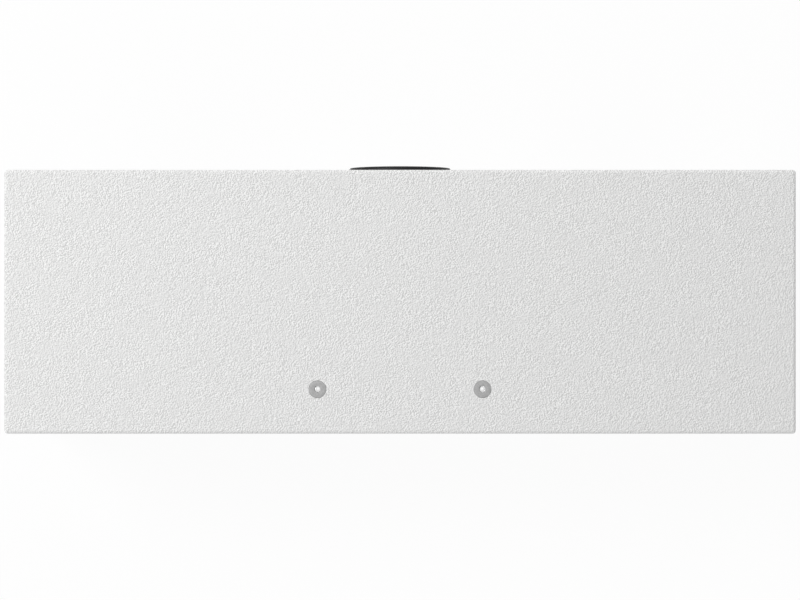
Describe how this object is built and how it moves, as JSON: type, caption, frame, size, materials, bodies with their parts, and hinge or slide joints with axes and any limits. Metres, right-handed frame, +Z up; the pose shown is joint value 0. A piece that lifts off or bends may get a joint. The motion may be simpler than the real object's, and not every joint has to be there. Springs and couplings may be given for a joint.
{
  "type": "center channel speaker",
  "caption": "Wide white-painted speaker cabinet with woofers beside a waveguide tweeter, flared rear ports, a recessed terminal cup and threaded bracket inserts.",
  "frame": {"origin": "on the standing surface, under the centre of the overall box", "axes": "+Z up, front baffle faces -Y, +X along the cabinet's length"},
  "size_m": [0.72, 0.2462, 0.225],
  "materials": {
    "cabinet_paint": "fine stippled white paint on fibreboard",
    "fibreboard": "bare fibreboard",
    "insert_steel": "zinc-plated steel",
    "foot_rubber": "matt moulded rubber",
    "basket_metal": "cast, powder-coated black",
    "trim_plastic": "moulded, fine matt grain",
    "surround_rubber": "smooth butyl rubber",
    "cone_paper": "coated pressed pulp",
    "cap_paper": "coated pressed pulp",
    "coil_copper": "enamelled copper wire",
    "spider_cloth": "resin-treated cloth",
    "motor_steel": "zinc-plated steel",
    "magnet_ferrite": "sintered ferrite",
    "gasket_foam": "closed-cell foam",
    "screw_black": "black oxide steel",
    "waveguide_plastic": "moulded satin black",
    "dome_silk": "coated silk",
    "port_plastic": "moulded satin black",
    "cup_plastic": "moulded, fine matt grain",
    "post_brass": "gold-flashed brass",
    "post_red": "moulded red",
    "post_black": "moulded black",
    "board_fibre": "glass-fibre circuit board",
    "pillar_nylon": "natural nylon",
    "capacitor_film": "wrapped film",
    "resistor_ceramic": "cement-filled ceramic",
    "damping_wadding": "polyester wadding"
  },
  "bodies": {
    "cabinet": {"cabinet_top": "cabinet_paint", "cabinet_bottom": "cabinet_paint", "cabinet_side_left": "cabinet_paint", "cabinet_side_right": "cabinet_paint", "front_baffle": "cabinet_paint", "rear_panel": "cabinet_paint", "cabinet_braces": "fibreboard", "rubber_feet": "foot_rubber", "threaded_insert_left": "insert_steel", "woofer_left_basket": "basket_metal", "woofer_left_trim_ring": "trim_plastic", "woofer_left_surround": "surround_rubber", "woofer_left_spider": "spider_cloth", "woofer_left_top_plate": "motor_steel", "woofer_left_magnet": "magnet_ferrite", "woofer_left_back_plate": "motor_steel", "port_tube_left": "port_plastic", "threaded_insert_right": "insert_steel", "woofer_right_basket": "basket_metal", "woofer_right_trim_ring": "trim_plastic", "woofer_right_surround": "surround_rubber", "woofer_right_spider": "spider_cloth", "woofer_right_top_plate": "motor_steel", "woofer_right_magnet": "magnet_ferrite", "woofer_right_back_plate": "motor_steel", "port_tube_right": "port_plastic", "woofer_gaskets": "gasket_foam", "woofer_screws": "screw_black", "woofer_tag_boards": "post_brass", "tweeter_waveguide": "waveguide_plastic", "tweeter_gasket": "gasket_foam", "tweeter_screws": "screw_black", "tweeter_top_plate": "motor_steel", "tweeter_magnet": "magnet_ferrite", "tweeter_back_plate": "motor_steel", "terminal_cup": "cup_plastic", "terminal_screws": "screw_black", "binding_post_shafts": "post_brass", "binding_post_nuts": "post_brass", "binding_post_collar_red": "post_red", "binding_post_collar_black": "post_black", "crossover_board": "board_fibre", "crossover_pillars": "pillar_nylon", "crossover_bobbins": "pillar_nylon", "crossover_coils": "coil_copper", "crossover_capacitors": "capacitor_film", "crossover_resistors": "resistor_ceramic", "damping_pads": "damping_wadding"},
    "woofer_left_diaphragm": {"woofer_left_cone": "cone_paper", "woofer_left_dust_cap": "cap_paper", "woofer_left_voice_coil": "coil_copper"},
    "woofer_right_diaphragm": {"woofer_right_cone": "cone_paper", "woofer_right_dust_cap": "cap_paper", "woofer_right_voice_coil": "coil_copper"},
    "tweeter_diaphragm": {"tweeter_dome": "dome_silk", "tweeter_voice_coil": "coil_copper"},
    "post_core_red": {"binding_post_core_red": "post_brass"},
    "post_cap_red": {"binding_post_cap_red": "post_red"},
    "post_core_black": {"binding_post_core_black": "post_brass"},
    "post_cap_black": {"binding_post_cap_black": "post_black"}
  },
  "joints": [
    {"name": "woofer_left_travel", "type": "slide", "parent": "cabinet", "child": "woofer_left_diaphragm", "axis": [0, -1, 0], "range_m": [-0.004, 0.004], "stiffness_N_per_m": 1100, "deforming": ["woofer_left_surround", "woofer_left_spider"]},
    {"name": "woofer_right_travel", "type": "slide", "parent": "cabinet", "child": "woofer_right_diaphragm", "axis": [0, -1, 0], "range_m": [-0.004, 0.004], "stiffness_N_per_m": 1100, "deforming": ["woofer_right_surround", "woofer_right_spider"]},
    {"name": "tweeter_travel", "type": "slide", "parent": "cabinet", "child": "tweeter_diaphragm", "axis": [0, -1, 0], "range_m": [-0.0003, 0.0003], "stiffness_N_per_m": 800},
    {"name": "post_red_advance", "type": "slide", "parent": "cabinet", "child": "post_core_red", "axis": [0, 1, 0], "range_m": [0, 0.004]},
    {"name": "post_red_turn", "type": "hinge", "parent": "post_core_red", "child": "post_cap_red", "pos_m": [0.0095, 0.1, 0.115], "axis": [0, 1, 0], "range_deg": [0, 1800]},
    {"name": "post_black_advance", "type": "slide", "parent": "cabinet", "child": "post_core_black", "axis": [0, 1, 0], "range_m": [0, 0.004]},
    {"name": "post_black_turn", "type": "hinge", "parent": "post_core_black", "child": "post_cap_black", "pos_m": [-0.0095, 0.1, 0.115], "axis": [0, 1, 0], "range_deg": [0, 1800]}
  ],
  "couplings": [
    {"joint": "post_red_turn", "follows": "post_red_advance", "rad_per_m": 7854},
    {"joint": "post_black_turn", "follows": "post_black_advance", "rad_per_m": 7854}
  ]
}
